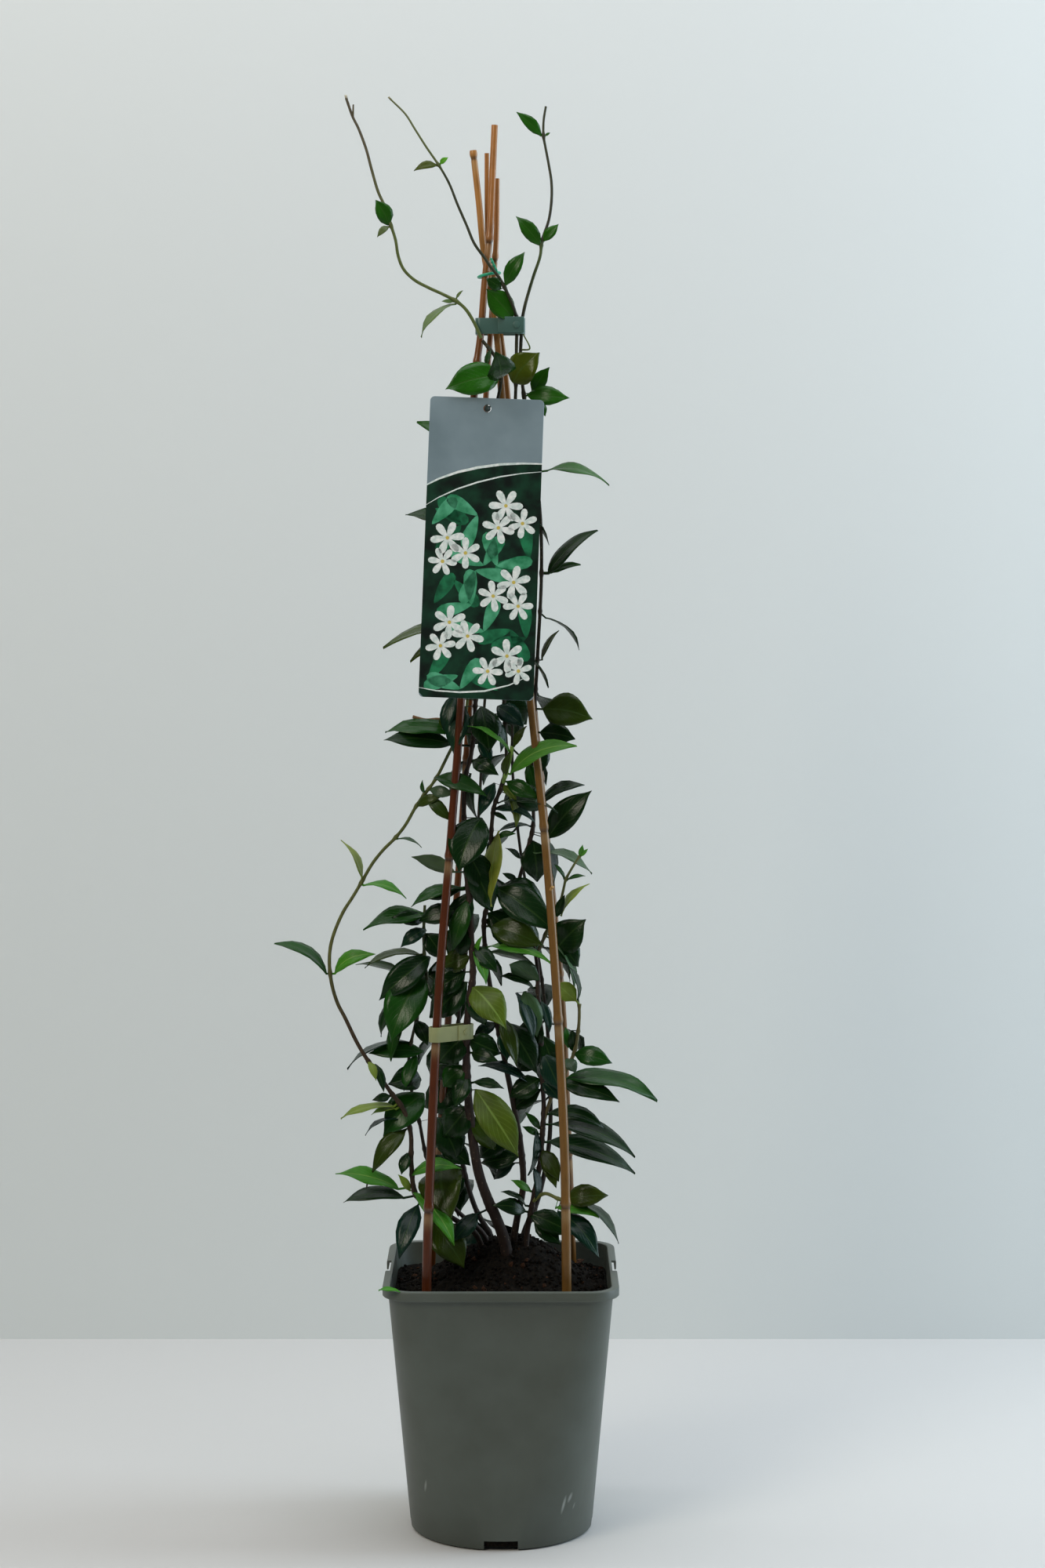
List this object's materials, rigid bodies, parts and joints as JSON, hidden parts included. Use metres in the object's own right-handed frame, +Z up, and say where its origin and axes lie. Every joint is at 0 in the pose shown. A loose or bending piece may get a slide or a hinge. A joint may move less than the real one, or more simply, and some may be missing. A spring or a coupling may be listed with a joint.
{
  "type": "potted star jasmine",
  "caption": "Climbing evergreen with opposite pointed leaves, twining up bamboo canes tied into a pyramid, in a square grey nursery pot with a round foot and a hang tag.",
  "frame": {"origin": "centre of the pot's flat underside, on the surface it stands on", "axes": "+Z up along the canes, -Y towards the front with the hang tag, +X to the right seen from the front"},
  "size_m": [0.2937, 0.18, 1.1033],
  "materials": {
    "pot_plastic": "satin grey polypropylene with a soft sheen and faint scuffs",
    "bamboo_brown": "satin reddish brown bamboo with nodes",
    "bamboo_tan": "satin tan bamboo with nodes",
    "tie_plastic": "plastic-coated green tie wire",
    "clip_plastic": "grey-green soft plastic band",
    "clip_pale_plastic": "pale green soft plastic band",
    "tag_plastic": null,
    "tag_tie_plastic": "dark green plastic-coated wire",
    "potting_soil": "rough damp bark and peat compost with pale grains",
    "bark": "thin brown bark, matte",
    "green_shoot": "young green to brown shoot, satin",
    "leaf_dark": "waxy dark evergreen leaf, glossy on top",
    "leaf_mid": "waxy mid-green leaf, glossy on top",
    "leaf_olive": "waxy olive leaf, satin",
    "leaf_yellow": "waxy yellow-green leaf, satin",
    "leaf_young": "soft bright young leaf, satin",
    "leaf_pale": "pale leaf, satin",
    "leaf_blue": "dark bluish leaf, glossy on top"
  },
  "bodies": {
    "root": {"pot": "pot_plastic", "cane_front_left": "bamboo_brown", "cane_front_right": "bamboo_tan", "cane_back_left": "bamboo_brown", "cane_back_right": "bamboo_tan", "tie_wire": "tie_plastic", "upper_clip": "clip_plastic", "lower_clip": "clip_pale_plastic", "hang_tag": "tag_plastic", "tag_tie": "tag_tie_plastic", "soil": "potting_soil", "stem_main": "bark", "stem_middle": "bark", "stem_right": "bark", "stem_twining": "bark", "stem_second": "bark", "stem_back_left": "bark", "stem_back_right": "bark", "shoot_low_right": "green_shoot", "shoot_hanging_right": "green_shoot", "shoot_bud_right": "green_shoot", "shoot_bright": "green_shoot", "dead_petiole": "bark", "shoot_top_left": "green_shoot", "shoot_top_middle": "green_shoot", "shoot_top_right": "green_shoot", "leaf_01": "leaf_young", "leaf_02": "leaf_dark", "leaf_03": "leaf_olive", "leaf_04": "leaf_olive", "leaf_05": "leaf_mid", "leaf_06": "leaf_dark", "leaf_07": "leaf_mid", "leaf_08": "leaf_olive", "leaf_09": "leaf_yellow", "leaf_10": "leaf_blue", "leaf_11": "leaf_dark", "leaf_12": "leaf_mid", "leaf_13": "leaf_dark", "leaf_14": "leaf_dark", "leaf_15": "leaf_dark", "leaf_16": "leaf_mid", "leaf_17": "leaf_mid", "leaf_18": "leaf_yellow", "leaf_19": "leaf_young", "leaf_20": "leaf_olive", "leaf_21": "leaf_dark", "leaf_22": "leaf_dark", "leaf_23": "leaf_mid", "leaf_24": "leaf_dark", "leaf_25": "leaf_pale", "leaf_26": "leaf_young", "leaf_27": "leaf_dark", "leaf_28": "leaf_olive", "leaf_29": "leaf_dark", "leaf_30": "leaf_dark", "leaf_31": "leaf_mid", "leaf_32": "leaf_mid", "leaf_33": "leaf_olive", "leaf_34": "leaf_mid"}
  },
  "joints": []
}
